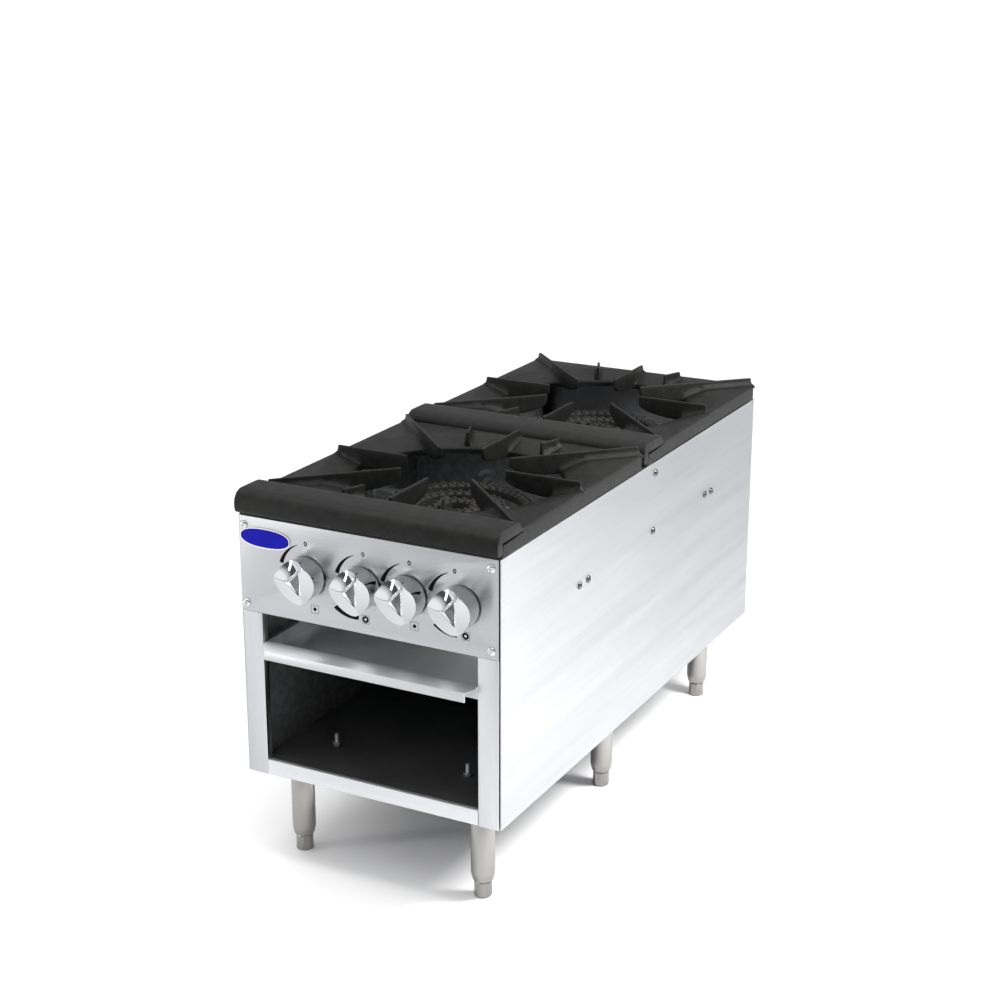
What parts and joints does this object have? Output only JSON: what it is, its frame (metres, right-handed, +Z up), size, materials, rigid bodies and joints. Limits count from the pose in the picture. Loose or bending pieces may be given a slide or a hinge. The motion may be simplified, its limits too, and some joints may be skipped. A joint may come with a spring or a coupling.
{
  "type": "stock pot range",
  "caption": "Floor-standing double stock pot range: cast grates over ring burners front and rear, gas knobs, sliding drip tray and open storage shelf, on adjustable legs.",
  "frame": {"origin": "on the floor under the middle of the whole object's box", "axes": "+Z up, +Y from the knobs towards the back, +X to the right of someone facing the knobs"},
  "size_m": [0.457, 1.094, 0.6253],
  "materials": {
    "stainless_sheet": "brushed bright sheet",
    "leg_steel": "brushed tube",
    "dark_sheet": "dark coated sheet",
    "grate_iron": "sand cast, black heat-proof paint",
    "burner_iron": "bare sand casting",
    "zinc_plate": "zinc plate, bright on fittings and dull on sheet",
    "chrome": "polished plating",
    "brass": "machined",
    "black_pipe": "black steel pipe",
    "aluminium_tube": "drawn tube",
    "blue_enamel": "glossy enamel with a pale rim"
  },
  "bodies": {
    "cabinet": {"side_panel_left": "stainless_sheet", "side_panel_right": "stainless_sheet", "back_panel": "stainless_sheet", "stile_left": "stainless_sheet", "stile_right": "stainless_sheet", "control_panel": "stainless_sheet", "badge_plate": "blue_enamel", "shelf": "dark_sheet", "liner_left": "zinc_plate", "liner_right": "zinc_plate", "heat_shield": "zinc_plate", "middle_wall": "zinc_plate", "tray_runner_left": "zinc_plate", "tray_runner_right": "zinc_plate", "leg_channel_front": "zinc_plate", "leg_channel_middle": "zinc_plate", "leg_channel_rear": "zinc_plate", "leg_1": "leg_steel", "leg_2": "leg_steel", "leg_3": "leg_steel", "leg_4": "leg_steel", "leg_5": "leg_steel", "leg_6": "leg_steel", "shelf_bolt_left": "zinc_plate", "shelf_bolt_right": "zinc_plate", "front_outer_burner": "burner_iron", "front_inner_burner": "burner_iron", "rear_outer_burner": "burner_iron", "rear_inner_burner": "burner_iron", "burner_bar_front": "zinc_plate", "burner_bar_rear": "zinc_plate", "manifold_pipe": "black_pipe", "gas_inlet_pipe": "black_pipe", "valve_1": "brass", "valve_2": "brass", "valve_3": "brass", "valve_4": "brass", "supply_tube_inner": "aluminium_tube", "supply_tube_outer": "aluminium_tube", "pilot_front": "aluminium_tube", "pilot_rear": "aluminium_tube"},
    "knob_1": {"knob_1": "chrome", "shaft_1": "brass"},
    "knob_2": {"knob_2": "chrome", "shaft_2": "brass"},
    "knob_3": {"knob_3": "chrome", "shaft_3": "brass"},
    "knob_4": {"knob_4": "chrome", "shaft_4": "brass"},
    "drip_tray": {"drip_tray": "stainless_sheet"},
    "front_grate": {"front_grate": "grate_iron"},
    "rear_grate": {"rear_grate": "grate_iron"},
    "foot_1": {"foot_1": "leg_steel"},
    "foot_2": {"foot_2": "leg_steel"},
    "foot_3": {"foot_3": "leg_steel"},
    "foot_4": {"foot_4": "leg_steel"},
    "foot_5": {"foot_5": "leg_steel"},
    "foot_6": {"foot_6": "leg_steel"}
  },
  "joints": [
    {"name": "knob_1_turn", "type": "hinge", "parent": "cabinet", "child": "knob_1", "pos_m": [-0.104, -0.515, 0.503], "axis": [0, -1, 0], "range_deg": [0, 90]},
    {"name": "knob_2_turn", "type": "hinge", "parent": "cabinet", "child": "knob_2", "pos_m": [-0.006, -0.515, 0.503], "axis": [0, -1, 0], "range_deg": [0, 160]},
    {"name": "knob_3_turn", "type": "hinge", "parent": "cabinet", "child": "knob_3", "pos_m": [0.073, -0.515, 0.503], "axis": [0, -1, 0], "range_deg": [0, 90]},
    {"name": "knob_4_turn", "type": "hinge", "parent": "cabinet", "child": "knob_4", "pos_m": [0.163, -0.515, 0.503], "axis": [0, -1, 0], "range_deg": [0, 160]},
    {"name": "tray_slide", "type": "slide", "parent": "cabinet", "child": "drip_tray", "axis": [0, -1, 0], "range_m": [0, 0.75]},
    {"name": "front_grate_lift", "type": "slide", "parent": "cabinet", "child": "front_grate", "axis": [0, 0, 1], "range_m": [0, 0.2]},
    {"name": "rear_grate_lift", "type": "slide", "parent": "cabinet", "child": "rear_grate", "axis": [0, 0, 1], "range_m": [0, 0.2]},
    {"name": "foot_1_screw", "type": "slide", "parent": "cabinet", "child": "foot_1", "axis": [0, 0, -1], "range_m": [0, 0.025]},
    {"name": "foot_2_screw", "type": "slide", "parent": "cabinet", "child": "foot_2", "axis": [0, 0, -1], "range_m": [0, 0.025]},
    {"name": "foot_3_screw", "type": "slide", "parent": "cabinet", "child": "foot_3", "axis": [0, 0, -1], "range_m": [0, 0.025]},
    {"name": "foot_4_screw", "type": "slide", "parent": "cabinet", "child": "foot_4", "axis": [0, 0, -1], "range_m": [0, 0.025]},
    {"name": "foot_5_screw", "type": "slide", "parent": "cabinet", "child": "foot_5", "axis": [0, 0, -1], "range_m": [0, 0.025]},
    {"name": "foot_6_screw", "type": "slide", "parent": "cabinet", "child": "foot_6", "axis": [0, 0, -1], "range_m": [0, 0.025]}
  ]
}
